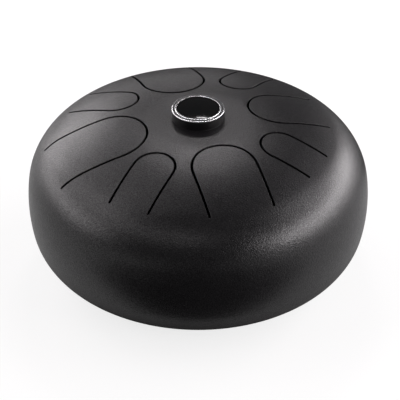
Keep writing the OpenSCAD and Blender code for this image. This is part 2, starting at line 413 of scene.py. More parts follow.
def facing_up(flat, triangles):
    """The triangles, those that run clockwise in plan turned over."""
    first = flat[triangles[:, 1]] - flat[triangles[:, 0]]
    second = flat[triangles[:, 2]] - flat[triangles[:, 0]]
    clockwise = first[:, 0] * second[:, 1] - first[:, 1] * second[:, 0] < 0
    return [tuple(f[::-1]) if turned else tuple(f) for f, turned in zip(triangles, clockwise)]


def wall_normal(way, across):
    """The way the cut faces at a point, or straight across the edge where no such way is known or it
    runs along the edge."""
    known = np.linalg.norm(way) > HAS_LENGTH and abs(way @ across) > FACES_SHARE
    return way if known else across


# %% The sheet itself
def make_sheet(name, plan, triangles, skirt_from=None):
    """A closed sheet over a plan, with its rounded edges, and a skirt down to the seam from a ring."""
    flat, sink = np.vstack(plan.points), np.concatenate(plan.sink)
    turn, way = np.concatenate(plan.turn), np.vstack(plan.way)
    outer, normal = lift(flat, sink)
    inner, _ = lift(flat, SHEET_T)
    way = np.column_stack([way, np.zeros(len(way))])
    way = unit(way - normal * np.sum(way * normal, 1)[:, None])
    shown = normal * np.cos(turn)[:, None] + way * np.sin(turn)[:, None]
    top = facing_up(flat, triangles)
    if skirt_from is not None:
        last = skirt_from
        for centre, radius, tilt in skirt_rings():
            at, n = ring_points(centre, radius, tilt)
            new = list(range(len(outer), len(outer) + AROUND))
            outer, normal, shown = np.vstack([outer, at]), np.vstack([normal, n]), np.vstack([shown, n])
            inner = np.vstack([inner, at - n * SHEET_T])
            way = np.vstack([way, np.tile([0, 0, -1], (AROUND, 1))])
            top += list(zip(last, new, new[1:] + new[:1], last[1:] + last[:1]))
            last = new
    used = sorted({k for f in top for k in f})
    number = {k: i for i, k in enumerate(used)}
    top = [[number[k] for k in f] for f in top]
    outer, inner, normal, shown, way = (x[used] for x in (outer, inner, normal, shown, way))
    count = len(used)
    under = [[k + count for k in f[::-1]] for f in top]
    walls = [(b, a, a + count, b + count) for a, b in edge_pairs(top)]
    mesh = bpy.data.meshes.new(name)
    mesh.from_pydata(np.vstack([outer, inner]).tolist(), [], top + under + walls)
    mesh.polygons.foreach_set("use_smooth", [True] * len(mesh.polygons))
    loops = [shown[k] for f in top for k in f] + [-normal[k - count] for f in under for k in f]
    for a, b, _, _ in walls:
        across = unit(np.cross(outer[b] - outer[a], normal[a]))
        at_a, at_b = wall_normal(way[a], across), wall_normal(way[b], across)
        loops += [at_a, at_b, at_b, at_a]
    mesh.normals_split_custom_set([tuple(x) for x in loops])
    print(name, "has", len(mesh.polygons), "faces")
    return new_object(name, mesh)


# %% The dome with its eight slits
BOLT_STEPS = 24


def make_dome():
    """The upper bowl's skin, with the bolt's hole and the eight slits cut out."""
    plan = Plan()
    rim = plan.add(ring(SKIRT_R, AROUND))
    bolt = plan.add(ring(BOLT_R, BOLT_STEPS))
    plan.loops = [rim, bolt] + [add_slit(plan, t, False) for t in tongues]
    plan.add(even[clear & (owner == DOME_OWNS)])
    return make_sheet("dome_skin", plan, plan.triangles(), rim)


dome = make_dome()
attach(dome, "drum")
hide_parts("top_shell")

# %% [markdown]
# The tongues' skins.


def make_tongue(i, t):
    """The skin of one tongue, which shares the points of its root line with the dome's skin."""
    plan = Plan()
    plan.loops = [add_slit(plan, t, True)]
    plan.add(even[clear & (owner == i)])
    piece = make_sheet(t["body"] + "_skin", plan, plan.triangles())
    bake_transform(piece)
    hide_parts(t["body"])
    return piece


tongue_skins = [make_tongue(i, t) for i, t in enumerate(tongues)]

# %% [markdown]
# Turned pieces.
# The lower bowl, the puck, its rings and badge, the feet and the screws are all bodies of revolution, so
# one geometry node tree makes them: it wraps a grid round the axis and lets each column of the grid take
# the points of an outline. A Screw modifier could turn an outline too, but it can't draw a hexagon. Here
# a point of the outline may carry a 1 in its y: its radius then follows a hexagon, which gives a nut its
# flats and a screw head its drive recess from the same tree.

# %% One function for nodes
MATHS = "ShaderNodeMath"


def feed(tree, node, inputs):
    """Gives a node its inputs: each a value, another node's output, or a node for its first output."""
    for key, value in inputs.items():
        if isinstance(value, bpy.types.Node):
            value = value.outputs[0]
        if isinstance(value, bpy.types.NodeSocket):
            tree.links.new(value, node.inputs[key])
        else:
            node.inputs[key].default_value = value


def add(tree, kind, inputs=None, **settings):
    """Adds a node with its settings and its inputs."""
    node = tree.nodes.new(kind)
    for key, value in settings.items():
        setattr(node, key, value)
    feed(tree, node, inputs or {})
    return node


# %% How a tree starts and ends
def group(name, **inputs):
    """A geometry node tree with these inputs besides its geometry; returns it and its inputs."""
    tree = bpy.data.node_groups.new(name, "GeometryNodeTree")
    tree.interface.new_socket("Geometry", in_out="INPUT", socket_type="NodeSocketGeometry")
    for label, kind in inputs.items():
        tree.interface.new_socket(label, in_out="INPUT", socket_type="NodeSocket" + kind)
    tree.interface.new_socket("Geometry", in_out="OUTPUT", socket_type="NodeSocketGeometry")
    return tree, tree.nodes.new("NodeGroupInput").outputs


def hand_out(tree, geometry, material):
    """Ends a tree: makes any copies real, gives them their material and hands them out."""
    real = add(tree, "GeometryNodeRealizeInstances", {"Geometry": geometry})
    painted = add(tree, "GeometryNodeSetMaterial", {"Geometry": real, "Material": material})
    add(tree, "NodeGroupOutput", {0: painted})


# %% The tree that turns an outline
SHARP_TILT = 35
MERGE_GAP = 0.001 * MM


def lathe_tree():
    """Wraps a grid round the axis and gives each of its columns the points of an outline."""
    tree, given = group("turned_piece", Columns="Int", Sides="Int", Material="Material")
    outline, columns = given["Geometry"], given["Columns"]
    rows = add(tree, "GeometryNodeAttributeDomainSize", {"Geometry": outline}).outputs["Point Count"]
    lines = add(tree, MATHS, {0: columns, 1: 1}, operation="ADD")
    grid = add(tree, "GeometryNodeMeshGrid", {"Vertices X": lines, "Vertices Y": rows})

    # The column and the row of each point in the grid, and the outline's point for that row.
    index = add(tree, "GeometryNodeInputIndex")
    full = add(tree, MATHS, {0: index, 1: rows}, operation="DIVIDE")
    column = add(tree, MATHS, {0: full}, operation="FLOOR")
    before = add(tree, MATHS, {0: column, 1: rows}, operation="MULTIPLY")
    row = add(tree, MATHS, {0: index, 1: before}, operation="SUBTRACT")
    pick = {"Geometry": outline, "Value": add(tree, "GeometryNodeInputPosition"), "Index": row}
    sample = add(tree, "GeometryNodeSampleIndex", pick, data_type="FLOAT_VECTOR")
    point = add(tree, "ShaderNodeSeparateXYZ", {0: sample}).outputs

    # The column's angle, and how far a hexagon's side pulls a marked point in from its corner circle.
    step = add(tree, MATHS, {0: math.tau, 1: columns}, operation="DIVIDE")
    angle = add(tree, MATHS, {0: column, 1: step}, operation="MULTIPLY")
    side = add(tree, MATHS, {0: math.tau, 1: given["Sides"]}, operation="DIVIDE")
    half = add(tree, MATHS, {0: side, 1: 2}, operation="DIVIDE")
    past = add(tree, MATHS, {0: angle, 1: side}, operation="MODULO")
    within = add(tree, MATHS, {0: past, 1: half}, operation="SUBTRACT")
    nearest = add(tree, MATHS, {0: half}, operation="COSINE")
    slant = add(tree, MATHS, {0: within}, operation="COSINE")
    share = add(tree, MATHS, {0: nearest, 1: slant}, operation="DIVIDE")
    flat = add(tree, MATHS, {0: share, 1: 1}, operation="SUBTRACT")
    pulled = add(tree, MATHS, {0: point[1], 1: flat, 2: 1}, operation="MULTIPLY_ADD")
    radius = add(tree, MATHS, {0: point[0], 1: pulled}, operation="MULTIPLY")

    # The point's place round the axis; the last column closes on the first.
    right = add(tree, MATHS, {0: angle}, operation="COSINE")
    back = add(tree, MATHS, {0: angle}, operation="SINE")
    x = add(tree, MATHS, {0: radius, 1: right}, operation="MULTIPLY")
    y = add(tree, MATHS, {0: radius, 1: back}, operation="MULTIPLY")
    at = add(tree, "ShaderNodeCombineXYZ", {0: x, 1: y, 2: point[2]})
    turned = add(tree, "GeometryNodeSetPosition", {"Geometry": grid, "Position": at})
    closed = add(tree, "GeometryNodeMergeByDistance", {"Geometry": turned, "Distance": MERGE_GAP})

    # Smooth all over, but for edges that turn by more than the sharp angle.
    smooth = add(tree, "GeometryNodeSetShadeSmooth", {"Geometry": closed}, domain="FACE")
    edge = {0: add(tree, "GeometryNodeInputMeshEdgeAngle"), 1: math.radians(SHARP_TILT)}
    sharp = add(tree, "FunctionNodeCompare", edge, operation="GREATER_THAN")
    crease = {"Geometry": smooth, "Selection": sharp, "Shade Smooth": False}
    creased = add(tree, "GeometryNodeSetShadeSmooth", crease, domain="EDGE")
    hand_out(tree, creased, given["Material"])
    return tree


# %% [markdown]
# Four of each.
# The feet and their fasteners stand on one circle. A second tree puts a copy on each of its places and
# turns it to face outwards. The export drops instances, so every tree here ends by making them real.

# %% The tree that sets copies on a circle
def circle_tree():
    """Sets a turned copy of a piece on each point of a circle."""
    tree, given = group("set_on_circle", Count="Int", Radius="Float", Turn="Float", Material="Material")
    count, turn = given["Count"], given["Turn"]
    places = add(tree, "GeometryNodeMeshCircle", {"Vertices": count, "Radius": given["Radius"]})
    facing_out = add(tree, "ShaderNodeCombineXYZ", {2: turn})
    turned = add(tree, "GeometryNodeTransform", {"Geometry": places, "Rotation": facing_out})
    index = add(tree, "GeometryNodeInputIndex")
    step = add(tree, MATHS, {0: math.tau, 1: count}, operation="DIVIDE")
    angle = add(tree, MATHS, {0: index, 1: step, 2: turn}, operation="MULTIPLY_ADD")
    each = add(tree, "ShaderNodeCombineXYZ", {2: angle})
    copy = {"Points": turned, "Instance": given["Geometry"], "Rotation": each}
    hand_out(tree, add(tree, "GeometryNodeInstanceOnPoints", copy), given["Material"])
    return tree


turn_outline, set_on_circle = lathe_tree(), circle_tree()

# %% [markdown]
# Outlines.
# An outline is written down as its corners, each with its rounding, the way a drawing states them. The
# arcs are then worked out, so that the edges that catch the light keep the same size on every piece.

# %% Outlines with rounded corners
CORNER_STEPS = 5


def rounded(corners, closed):
    """An outline from corners (radius, height, rounding) or (radius, height, rounding, 1) for a hexagon.
    It runs up the outside of the piece, and a closed one ends where it begins."""
    corners = [c if len(c) == 4 else (*c, 0) for c in corners]
    n, points = len(corners), []
    for i, (r, z, rounding, hexagon) in enumerate(corners):
        here = np.array([r, z])
        if rounding == 0 or (not closed and i in (0, n - 1)):
            points.append((r, hexagon, z))
            continue
        back = np.array(corners[i - 1][:2]) - here
        on = np.array(corners[(i + 1) % n][:2]) - here
        back, on = back / np.linalg.norm(back), on / np.linalg.norm(on)
        half = math.acos(np.clip(back @ on, -1, 1)) / 2
        middle = here + (back + on) / np.linalg.norm(back + on) * rounding / math.sin(half)
        start, end = here + back * rounding / math.tan(half), here + on * rounding / math.tan(half)
        sweep = math.pi - 2 * half
        for f in np.linspace(0, 1, CORNER_STEPS + 1):
            from_start, from_end = math.sin((1 - f) * sweep), math.sin(f * sweep)
            out = (from_start * (start - middle) + from_end * (end - middle)) / math.sin(sweep)
            points.append((middle[0] + out[0], hexagon, middle[1] + out[1]))
    return points + points[:1] if closed else points


# %% From an outline to a piece
HEX_SIDES = 6
TURNED_COLUMNS = 96


def turned_piece(name, outline, material, stands_for, columns=TURNED_COLUMNS, circle=None):
    """Turns an outline into a piece with plain mesh, on a circle if its (count, radius, turn) is given."""
    wire = bpy.data.meshes.new(name)
    edges = [(i, i + 1) for i in range(len(outline) - 1)]
    wire.from_pydata([tuple(map(float, p)) for p in outline], edges, [])
    piece = new_object(name, wire)
    trees = [(turn_outline, {"Columns": columns, "Sides": HEX_SIDES, "Material": material})]
    if circle:
        count, radius, turn = circle
        places = {"Count": count, "Radius": float(radius), "Turn": turn, "Material": material}
        trees.append((set_on_circle, places))
    for tree, given in trees:
        modifier = piece.modifiers.new(tree.name, "NODES")
        modifier.node_group = tree
        for item in tree.interface.items_tree:
            if item.in_out == "INPUT" and item.name in given:
                modifier[item.identifier] = given[item.name]
    ready = piece.evaluated_get(bpy.context.evaluated_depsgraph_get())
    mesh = bpy.data.meshes.new_from_object(ready)
    piece.modifiers.clear()
    piece.data = mesh
    mesh.name = name
    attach(piece, "drum")
    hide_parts(*stands_for)
    print(name, "has", len(mesh.polygons), "faces")
    return piece


# %% [markdown]
# Finishes.
# Photographed textures could dress the drum too, but they need unwrapping and show seams on a round
# body. Here each finish starts from typical values for its real material, and noise on Object coordinates
# gives it life: those are metres here, so a noise's scale is one over the real size of its grains.

# %% Colours and the base of a finish
def linear(code):
    """An sRGB hex colour as linear red, green, blue and alpha."""
    parts = [int(code[i : i + 2], 16) / 255 for i in (1, 3, 5)]
    return (*[p / 12.92 if p <= 0.04045 else ((p + 0.055) / 1.055) ** 2.4 for p in parts], 1)


def finish(name, **sockets):
    """A material with its shader's sockets set; returns it, its tree and its shader."""
    material = bpy.data.materials.new(name)
    material.use_nodes = True
    tree = material.node_tree
    shader = tree.nodes["Principled BSDF"]
    feed(tree, shader, {key.replace("_", " "): value for key, value in sockets.items()})
    return material, tree, shader


# %% Patterns of grains
NOISE_LOW, NOISE_HIGH = 0.3, 0.7


def grains(tree, size, detail=2.0):
    """Noise whose grains are this many metres across."""
    place = add(tree, "ShaderNodeTexCoord").outputs["Object"]
    return add(tree, "ShaderNodeTexNoise", {"Vector": place, "Scale": 1 / size, "Detail": detail})


def between(tree, low, high, size, detail=2.0):
    """A value that drifts from low to high over grains of this size."""
    given = {"Value": grains(tree, size, detail), "From Min": NOISE_LOW, "From Max": NOISE_HIGH}
    return add(tree, "ShaderNodeMapRange", {**given, "To Min": low, "To Max": high})


def tinted(tree, first, second, size, detail=2.0):
    """A colour that drifts from the first to the second over grains of this size."""
    given = {0: between(tree, 0, 1, size, detail), 6: linear(first), 7: linear(second)}
    return add(tree, "ShaderNodeMix", given, data_type="RGBA").outputs[2]


def raised(tree, height, size, **below):
    """A skin raised by grains of this height and size, over the one that Normal names if there is one."""
    given = {"Height": grains(tree, size), "Distance": height, "Strength": 1.0, **below}
    return add(tree, "ShaderNodeBump", given)


# %% [markdown]
# The drum's own finish is a satin polyester powder coat, baked on. Baked powder flows into a skin with an
# orange peel: to the eye it is nearly black, with a wide soft gloss that breaks up into grain where a
# light catches it. A real peel is only some hundredths of a millimetre high and its finest grains are far
# smaller than a pixel, so peel and grit are drawn coarser and deeper than real, to show from where the
# camera stands. The pits between the grains give less gloss, so the reflectance drifts with the grit.

# %% Satin powder coat
PEEL = 1.3 * MM
PEEL_H = 0.17 * MM
PEEL_PATCH = 4 * PEEL
GRIT = 0.9 * MM
GRIT_H = 0.15 * MM
CLOUDS = 26 * MM


def powder_coat():
    """Satin powder coat, nearly black, with its peel and grit drawn coarser than real so that they show."""
    material, tree, shader = finish("satin_powder_coat", IOR=1.5)
    skin = {
        "Base Color": tinted(tree, "#131214", "#181719", size=CLOUDS, detail=3),
        "Roughness": between(tree, low=0.31, high=0.36, size=PEEL_PATCH),
        "Specular IOR Level": between(tree, low=0.27, high=0.73, size=GRIT, detail=1),
        "Normal": raised(tree, GRIT_H, GRIT, Normal=raised(tree, PEEL_H, PEEL)),
    }
    feed(tree, shader, skin)
    return material


# %% [markdown]
# The other finishes are small on the picture, and each has one thing that tells it from the rest: the
# matt grain of a mould, the cold white of chrome, the wet black of poured resin, the dull grey bloom of
# rubber, the cloudy grey of zinc and the yellow of brass. Their finest grains, some hundredths of a
# millimetre on the real pieces, are drawn a third to a half of a millimetre wide, so that a close look
# shows them.

# %% Moulded black ABS
def moulded_abs():
    """Black ABS from a spark-eroded mould: a fine even matt grain over a deep black."""
    material, tree, shader = finish("moulded_black_abs", IOR=1.53, Specular_IOR_Level=0.35)
    skin = {
        "Base Color": tinted(tree, "#080809", "#0c0c0d", size=8 * MM),
        "Roughness": between(tree, low=0.32, high=0.4, size=1.5 * MM),
        "Normal": raised(tree, height=0.003 * MM, size=0.3 * MM),
    }
    feed(tree, shader, skin)
    return material


# %% Bright chrome
def chrome_plate():
    """Bright chrome on a turned ring: cold white, and a little softer where the brass under it was turned."""
    material, tree, shader = finish("bright_chrome_plate", Metallic=1.0, Base_Color=linear("#d9dadc"))
    feed(tree, shader, {"Roughness": between(tree, low=0.21, high=0.25, size=9 * MM)})
    return material


# %% Poured resin
def domed_resin():
    """Clear doming resin poured over a black face: a deep black under a wet, lens-smooth skin."""
    material, tree, shader = finish("clear_domed_resin", IOR=1.5)
    skin = {
        "Base Color": tinted(tree, "#060607", "#0b0b0c", size=3 * MM),
        "Roughness": between(tree, low=0.04, high=0.07, size=2 * MM),
    }
    feed(tree, shader, skin)
    return material


# %% Moulded rubber
def moulded_rubber():
    """Black moulded rubber: dull, slightly grey where it bloomed, with a skin like fine leather."""
    material, tree, shader = finish("moulded_black_rubber", IOR=1.52)
    skin = {
        "Base Color": tinted(tree, "#161617", "#1f1f20", size=5 * MM),
        "Roughness": between(tree, low=0.62, high=0.75, size=2 * MM),
        "Normal": raised(tree, height=0.01 * MM, size=0.5 * MM),
    }
    feed(tree, shader, skin)
    return material


# %% Zinc plate
def zinc_plate():
    """Zinc plated steel: a bluish grey metal with soft cloudy patches from the passivation."""
    material, tree, shader = finish("passivated_zinc_plate", Metallic=1.0)
    skin = {
        "Base Color": tinted(tree, "#9fa4a8", "#b4b5b0", size=2.5 * MM),
        "Roughness": between(tree, low=0.24, high=0.36, size=1.2 * MM),
        "Normal": raised(tree, height=0.002 * MM, size=0.4 * MM),
    }
    feed(tree, shader, skin)
    return material


# %% Turned brass
def turned_brass():
    """Free-cutting brass as it leaves the lathe: warm yellow, with fine marks of the tool."""
    material, tree, shader = finish("turned_brass", Metallic=1.0)
    skin = {
        "Base Color": tinted(tree, "#c9a452", "#d3b163", size=3 * MM),
        "Roughness": between(tree, low=0.22, high=0.34, size=0.7 * MM),
        "Normal": raised(tree, height=0.002 * MM, size=0.35 * MM),
    }
    feed(tree, shader, skin)
    return material


# %% Make the finishes
coat, abs_black, chrome = powder_coat(), moulded_abs(), chrome_plate()
resin, rubber, zinc, brass = domed_resin(), moulded_rubber(), zinc_plate(), turned_brass()
for piece in [dome, *tongue_skins]:
    piece.data.materials.append(coat)
print("finishes:", ", ".join(m.name for m in (coat, abs_black, chrome, resin, rubber, zinc, brass)))

# %% [markdown]
# The lower bowl.
# It carries on the wall from the seam, turns under in one round corner and ends in a flat base with the
# sound hole. The hole's edge is turned up into the drum, which stiffens the base and leaves no sharp
# edge for the hand that carries it.

# %% The lower bowl
HOLE_R = 38 * MM
LIP_R = 3 * MM
LIP_H = 3 * MM
SEAM_STEP = 0.05
CORNER_TURNS = 26
FOOT_WALL_STEPS = 8
LIP_STEPS = 8


def arc_line(centre, radius, tilts):
    """Points of an arc at these tilts."""
    return [tuple(centre + radius * facing(a)) for a in tilts]


def lower_bowl_outline():
    """The bowl's outline, closed, up the outside: base, corner, wall, seam, and back down inside."""
    wall = np.linspace(SEAM_TILT, WALL_FOOT_TILT, FOOT_WALL_STEPS + 1)
    wall = [SEAM_TILT, SEAM_TILT + SEAM_STEP, *wall[1:]]
    corner = np.linspace(WALL_FOOT_TILT, BASE_TILT, CORNER_TURNS + 1)[1:]
    lip_c = np.array([HOLE_R + SHEET_T + LIP_R, base_z + SHEET_T + LIP_R])
    lip = np.linspace(BASE_TILT, BASE_TILT + QUARTER, LIP_STEPS + 1)
    faces = []
    for inset in (0, SHEET_T):
        skin = arc_line(wall_c, WALL_R - inset, wall) + arc_line(corner_c, CORNER_R - inset, corner)
        skin += arc_line(lip_c, LIP_R + SHEET_T - inset, lip)
        faces.append([(r, 0, z) for r, z in skin])
    foot_z, tip_z, outer_r = lip_c[1], lip_c[1] + LIP_H, HOLE_R + SHEET_T
    corners = [(HOLE_R, foot_z, 0), (HOLE_R, tip_z, EDGE_R), (outer_r, tip_z, EDGE_R), (outer_r, foot_z, 0)]
    round_tip = rounded(corners, False)[1:-1]
    loop = faces[0] + round_tip + faces[1][::-1]
    return loop[::-1] + loop[-1:]


turned_piece(
    "lower_bowl_skin", lower_bowl_outline(), coat, ["bottom_shell"], columns=AROUND
)

# %% [markdown]
# The puck.
# A moulded black cap sits in the middle of the land. Like any moulding it is hollow underneath, with thin
# walls and a boss for the brass insert. Its outline is turned like the bowl's. Every edge is a little
# rounded, because it is the edges that catch the light.

# %% The puck's cap
PUCK_WALL = 3 * MM
PUCK_TOP_T = 2.6 * MM
BOSS_R = 6.5 * MM
RIM_W = 1 * MM
MOULD_EDGE = 0.4 * MM
FINE_EDGE = 0.12 * MM
PUCK_COLUMNS = 144

puck_low, puck_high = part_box("puck")
ring_low, ring_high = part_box("rim_ring")
pan_low, pan_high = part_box("badge_tray")
_, insert_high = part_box("puck_insert")
puck_r, pan_r = puck_high.x, pan_high.x


def puck_outline():
    """Up the outside, over the ring's step and the pan's recess to the middle."""
    roof = pan_low.z - PUCK_TOP_T
    return rounded(
        [
            (0, insert_high.z, 0),
            (insert_high.x, insert_high.z, 0),
            (insert_high.x, puck_low.z, FINE_EDGE),
            (BOSS_R, puck_low.z, FINE_EDGE),
            (BOSS_R, roof, MOULD_EDGE),
            (puck_r - PUCK_WALL, roof, MOULD_EDGE),
            (puck_r - PUCK_WALL, puck_low.z, FINE_EDGE),
            (puck_r, puck_low.z, MOULD_EDGE),
            (puck_r, ring_low.z, FINE_EDGE),
            (puck_r - RIM_W, ring_low.z, 0),
            (puck_r - RIM_W, puck_high.z, FINE_EDGE),
            (pan_r, puck_high.z, FINE_EDGE),
            (pan_r, pan_low.z, 0),
            (0, pan_low.z, 0),
        ],
        False,
    )


turned_piece("puck_cap", puck_outline(), abs_black, ["puck"], columns=PUCK_COLUMNS)

# %% [markdown]
# The bright ring and the badge's pan.
# A thin plated ring is let into the puck's top edge, and a plated pan with a raised rim holds the badge. A
# torus would do for a distant ring, but a turned outline keeps the flat faces and the small roundings
# that draw the two fine bright lines.

# %% Ring and pan
PLATE_EDGE = 0.3 * MM
RING_EDGE = 0.6 * MM
PAN_RIM_W = 1.5 * MM
PAN_FLOOR_T = 0.4 * MM
PAN_OUTER_EDGE = 0.45 * MM


def ring_outline():
    """A square ring with its outer top corner well rounded."""
    inner, outer = ring_high.x - RIM_W, ring_high.x
    low, high = ring_low.z, ring_high.z
    corners = [(inner, low, 0), (outer, low, FINE_EDGE), (outer, high, RING_EDGE), (inner, high, 0)]
    return rounded(corners, True)


def pan_outline():
    """A flat pan with a raised rim."""
    inner, floor = pan_r - PAN_RIM_W, pan_low.z + PAN_FLOOR_T
    return rounded(
        [
            (0, pan_low.z, 0),
            (pan_r, pan_low.z, FINE_EDGE),
            (pan_r, pan_high.z, PAN_OUTER_EDGE),
            (inner, pan_high.z, PLATE_EDGE),
            (inner, floor, FINE_EDGE),
            (0, floor, 0),
        ],
        False,
    )


turned_piece("puck_top_ring", ring_outline(), chrome, ["rim_ring"], columns=PUCK_COLUMNS)
turned_piece("badge_pan", pan_outline(), chrome, ["badge_tray"], columns=PUCK_COLUMNS)

# %% [markdown]
# The badge and the rubber seat.
# The badge is a round plate under poured resin, and its face stays bare. The resin runs to the plate's
# edge and stops there, and its own tension draws it into a lens, so one arc makes its dome. Between puck
# and steel lies a flat rubber ring, which keeps the puck from buzzing.

# %% Badge and seat
BADGE_CROWN = 1 * MM
BADGE_STEPS = 16
SCREW_R = 2.5 * MM
HOLE_PLAY = 0.25 * MM

badge_low, badge_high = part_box("badge_disc")
seat_low, seat_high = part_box("puck_seat")


def badge_outline():
    """A flat back, a short edge, and the resin's low dome."""
    badge_r, back, edge_z = badge_high.x, badge_low.z, badge_high.z - BADGE_CROWN
    crown_r = (badge_r**2 + BADGE_CROWN**2) / (2 * BADGE_CROWN)
    reach = math.asin(badge_r / crown_r)
    face = []
    for k in range(BADGE_STEPS + 1):
        a = reach * (1 - k / BADGE_STEPS)
        face.append((crown_r * math.sin(a), 0, edge_z + BADGE_CROWN - crown_r * (1 - math.cos(a))))
    return [(0, 0, back), (badge_r - FINE_EDGE, 0, back), (badge_r, 0, back + FINE_EDGE), *face]


def washer_outline(hole, outer, low, high):
    """A flat ring with its outer edges a little rounded, from its hole's radius to its own."""
    return rounded([(hole, low, 0), (outer, low, FINE_EDGE), (outer, high, FINE_EDGE), (hole, high, 0)], True)


seat = washer_outline(SCREW_R + HOLE_PLAY, seat_high.x, seat_low.z, seat_high.z)
turned_piece("badge", badge_outline(), resin, ["badge_disc"], columns=PUCK_COLUMNS)
turned_piece("puck_rubber_seat", seat, rubber, ["puck_seat"])

# %% [markdown]
# The feet.
# Four rubber feet stand under the base. Each has a recess for a washer and a screw's head, so that no
# steel touches the table. One foot is turned from its outline, and the second tree sets the four.

# %% Rubber feet
FOOT_COUNT = 4
FOOT_TOP_R = 11 * MM
FOOT_FLOOR_R = 9 * MM
FOOT_RECESS_R = 5.5 * MM
FOOT_EDGE = 0.8 * MM
FOOT_SCREW_R = 2 * MM
FOOT_COLUMNS = 72

foot_low, foot_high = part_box("foot_1")
washer_low, washer_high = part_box("foot_washers")
foot_middle = (foot_low + foot_high) / 2
circle_r = math.hypot(foot_middle.x, foot_middle.y)
on_circle = (FOOT_COUNT, circle_r, math.pi / FOOT_COUNT)
feet = [f"foot_{i + 1}" for i in range(FOOT_COUNT)]
foot_hole = FOOT_SCREW_R + HOLE_PLAY


def foot_outline():
    """A tapering foot with a hole, and a recess for the washer and the screw's head."""
    return rounded(
        [
            (foot_hole, washer_high.z, 0),
            (FOOT_RECESS_R, washer_high.z, FINE_EDGE),
            (FOOT_RECESS_R, foot_low.z, FOOT_EDGE),
            (FOOT_FLOOR_R, foot_low.z, FOOT_EDGE),
            (FOOT_TOP_R, foot_high.z, FINE_EDGE),
            (foot_hole, foot_high.z, 0),
        ],
        True,
    )


turned_piece("rubber_feet", foot_outline(), rubber, feet, FOOT_COLUMNS, on_circle)

# %% [markdown]
# Screws and nuts.
# A pan head screw goes up through a washer, the foot and the base into a nut, and a larger screw and
# washer hold the puck from inside the dome. A real thread is a helix, but turned grooves look the same
# from any side. The hexagon mark of the outline makes the recess in a head and the flats of a nut.

# %% Outlines of screws and nuts
DRIVE_SHARE = 0.5
DRIVE_DEPTH_SHARE = 0.55
THREAD_STEP = 0.7 * MM
THREAD_DEPTH = 0.18 * MM
PLAIN_TURNS = 2
NUT_FLATS = 7 * MM

nuts_low, nuts_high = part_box("foot_nuts")


def screw_outline(radius, head_r, head_h, seat_z, tip_z):
    """A pan head below its seat with a hexagon recess, and a threaded shank above it."""
    head_z = seat_z - head_h
    drive_r, drive_z = head_r * DRIVE_SHARE, head_z + head_h * DRIVE_DEPTH_SHARE
    head = [
        (0, drive_z, 0),
        (drive_r, drive_z, 0, 1),
        (drive_r, head_z, 0, 1),
        (drive_r + FINE_EDGE, head_z, 0),
        (head_r, head_z, head_h * DRIVE_SHARE),
        (head_r, seat_z, FINE_EDGE),
        (radius, seat_z, 0),
    ]
    turns = int((tip_z - seat_z) / THREAD_STEP) - PLAIN_TURNS
    thread = []
    for k in range(1, 2 * turns):
        depth = THREAD_DEPTH if k % 2 else 0
        thread.append((radius - depth, seat_z + (1 + k / 2) * THREAD_STEP, 0))
    tip = [(radius, tip_z - THREAD_STEP, 0), (radius - THREAD_DEPTH - FINE_EDGE, tip_z, 0), (0, tip_z, 0)]
    return rounded(head + thread + tip, False)


def nut_outline():
    """A nut, chamfered from its corners to its flats."""
    corner_r = NUT_FLATS / 2 / math.cos(math.pi / HEX_SIDES)
    chamfer = corner_r - NUT_FLATS / 2
    low, high = nuts_low.z, nuts_high.z
    return rounded(
        [
            (FOOT_SCREW_R, low + FINE_EDGE, 0),
            (FOOT_SCREW_R + FINE_EDGE, low, 0),
            (NUT_FLATS / 2, low, 0),
            (corner_r, low + chamfer, 0, 1),
            (corner_r, high - chamfer, 0, 1),
            (NUT_FLATS / 2, high, 0),
            (FOOT_SCREW_R + FINE_EDGE, high, 0),
            (FOOT_SCREW_R, high - FINE_EDGE, 0),
        ],
        True,
    )


# %% The fasteners
FOOT_WASHER_R = 5 * MM
FOOT_HEAD_R = 4 * MM
FOOT_HEAD_H = 2.7 * MM
PUCK_HEAD_H = 3.6 * MM
THREAD_PLAY = 0.05 * MM
SCREW_COLUMNS = 48

low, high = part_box("foot_screws")
foot_screw = screw_outline(FOOT_SCREW_R - THREAD_PLAY, FOOT_HEAD_R, FOOT_HEAD_H, low.z + FOOT_HEAD_H, high.z)
foot_washer = washer_outline(foot_hole, FOOT_WASHER_R, washer_low.z, washer_high.z)
low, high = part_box("puck_screw")
puck_screw = screw_outline(SCREW_R - THREAD_PLAY, high.x, PUCK_HEAD_H, low.z + PUCK_HEAD_H, high.z)
low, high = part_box("puck_washer")
puck_washer = washer_outline(SCREW_R + HOLE_PLAY, high.x, low.z, high.z)
for name, outline, node, circle in (
    ("foot_screw_set", foot_screw, "foot_screws", on_circle),
    ("foot_washer_set", foot_washer, "foot_washers", on_circle),
    ("foot_nut_set", nut_outline(), "foot_nuts", on_circle),
    ("puck_screw_turned", puck_screw, "puck_screw", None),
    ("puck_washer_turned", puck_washer, "puck_washer", None),
):
    turned_piece(name, outline, zinc, [node], SCREW_COLUMNS, circle)

# The insert hardly shows, so it keeps its own solid under a brass finish.
nodes["puck_insert"].data.materials.clear()
nodes["puck_insert"].data.materials.append(brass)

# %% [markdown]
# The studio.
# The camera stands where the photograph's did: its place and its lens were found by fitting the drum's
# outline. It stands far away with a long lens, so the drum shows with little perspective.

# %% Camera
FRAME_PX = 400
FOCAL_PX = 1560.8
SENSOR = 36.0
AIM = Vector((1.621 * MM, 0, 60.402 * MM))
CAMERA_RISE = math.radians(34.419)
CAMERA_FAR = 1415.903 * MM

camera = new_object("camera", bpy.data.cameras.new("camera"))
camera.data.sensor_width = SENSOR
camera.data.lens = FOCAL_PX / FRAME_PX * SENSOR
camera.location = AIM + CAMERA_FAR * Vector((0, -math.cos(CAMERA_RISE), math.sin(CAMERA_RISE)))
camera.rotation_euler = (math.pi / 2 - CAMERA_RISE, 0, 0)
bpy.context.scene.camera = camera
print("the lens is %.0f mm long" % camera.data.lens)
